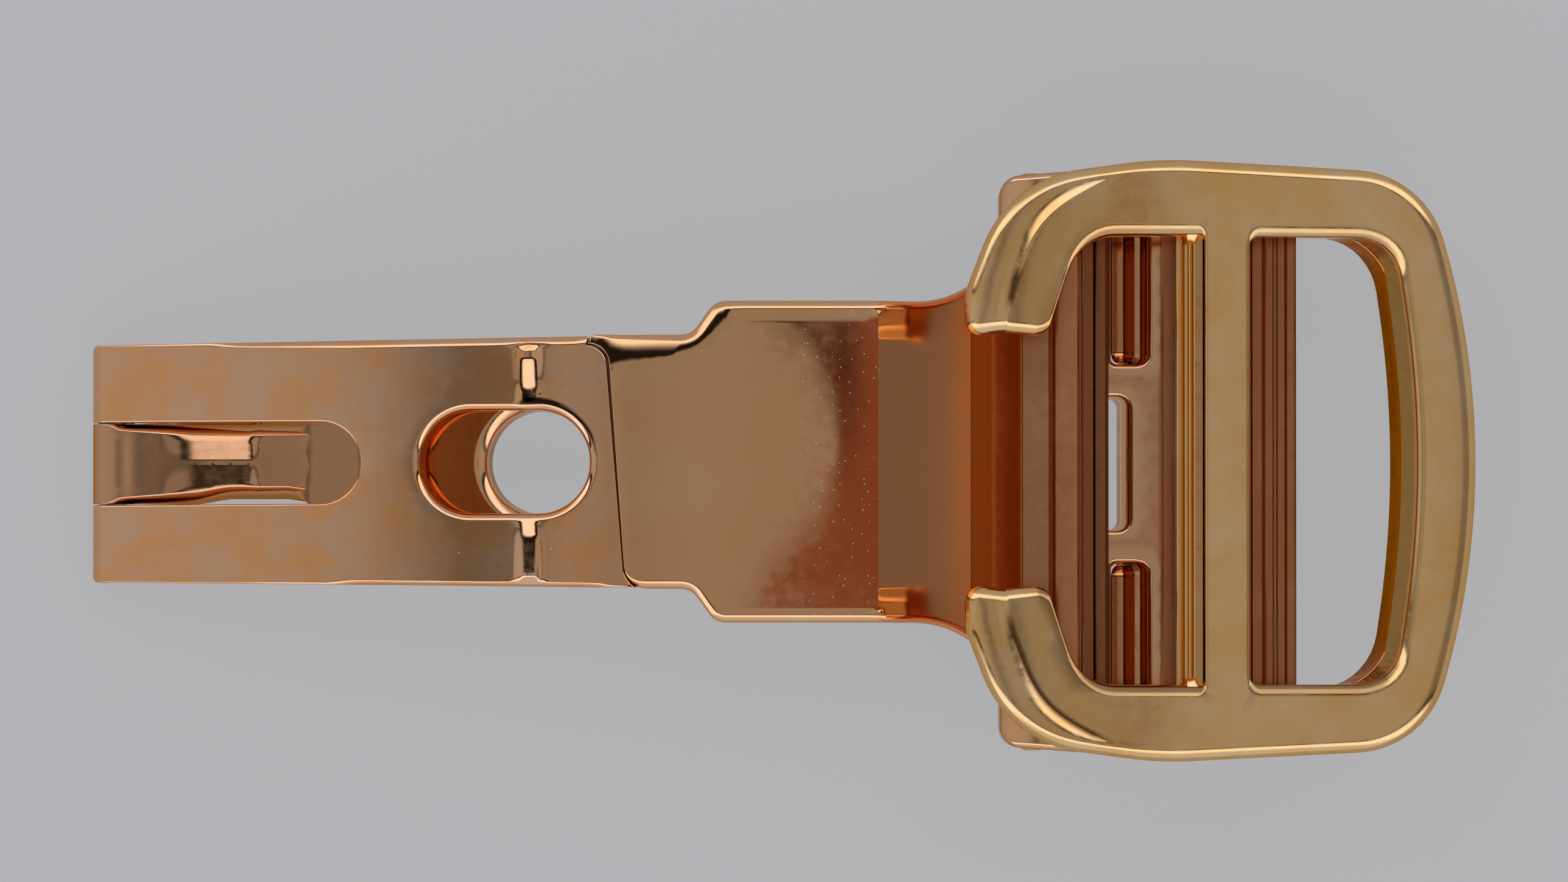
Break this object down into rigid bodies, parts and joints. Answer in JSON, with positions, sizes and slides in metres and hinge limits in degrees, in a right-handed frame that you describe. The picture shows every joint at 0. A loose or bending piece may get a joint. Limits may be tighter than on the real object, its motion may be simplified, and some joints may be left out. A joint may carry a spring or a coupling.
{
  "type": "deployant clasp",
  "caption": "Folding deployant clasp for a watch strap, drawn closed: curved rose gold blades on a fold hinge, and a hinged yellow gold frame that clamps the strap.",
  "frame": {"origin": "centre of the closed clasp's bounding box, at its lowest level, where the fold hinge and the strap end plate rest on a table", "axes": "+X along the strap from the fold hinge to the frame's bow, +Y across the strap, +Z out of the wrist towards the viewer of the frame"},
  "size_m": [0.0465, 0.02, 0.0079],
  "materials": {
    "rose_gold": "polished rose gold with faint haze",
    "rose_grip": "rose gold with fine grooves across the strap",
    "yellow_gold": "polished yellow gold with soft hazing",
    "clamp_gold": "polished yellow gold, ribbed",
    "pin_gold": "polished rose gold pins",
    "pin_steel": "ground steel",
    "spring_steel": "bright spring steel"
  },
  "bodies": {
    "lower": {"lower_blade": "rose_gold", "strap_end_plate": "rose_gold", "strap_pin_a": "pin_gold", "strap_pin_b": "pin_gold"},
    "upper": {"upper_blade": "rose_gold", "fold_hinge_pin": "pin_steel", "head_plate": "rose_gold", "base_ring": "rose_gold", "front_grip_block": "rose_grip", "rear_grip_bar": "rose_grip", "frame_pin_a": "pin_gold", "frame_pin_b": "pin_gold", "detent_spring_a": "spring_steel", "detent_spring_b": "spring_steel", "catch_rivets": "pin_gold"},
    "clamp": {"front_frame": "yellow_gold", "clamp_bar": "clamp_gold"},
    "plunger_a": {"detent_plunger_a": "pin_steel"},
    "plunger_b": {"detent_plunger_b": "pin_steel"},
    "catch": {"catch_leaf": "spring_steel"}
  },
  "joints": [
    {"name": "fold_hinge", "type": "hinge", "parent": "lower", "child": "upper", "pos_m": [-0.02245, 0, 0.0008], "axis": [0, -1, 0], "range_deg": [0, 165]},
    {"name": "frame_hinge", "type": "hinge", "parent": "upper", "child": "clamp", "pos_m": [0.0084, 0, 0.00535], "axis": [0, -1, 0], "range_deg": [0, 50]},
    {"name": "catch_flex", "type": "hinge", "parent": "upper", "child": "catch", "pos_m": [0.01076, 0, 0.00225], "axis": [0, -1, 0], "range_deg": [0, 5], "stiffness_Nm_per_rad": 0.02},
    {"name": "detent_a_slide", "type": "slide", "parent": "upper", "child": "plunger_a", "axis": [0, 1, 0], "range_m": [0, 0.00025], "stiffness_N_per_m": 400},
    {"name": "detent_b_slide", "type": "slide", "parent": "upper", "child": "plunger_b", "axis": [0, -1, 0], "range_m": [0, 0.00025], "stiffness_N_per_m": 400}
  ]
}
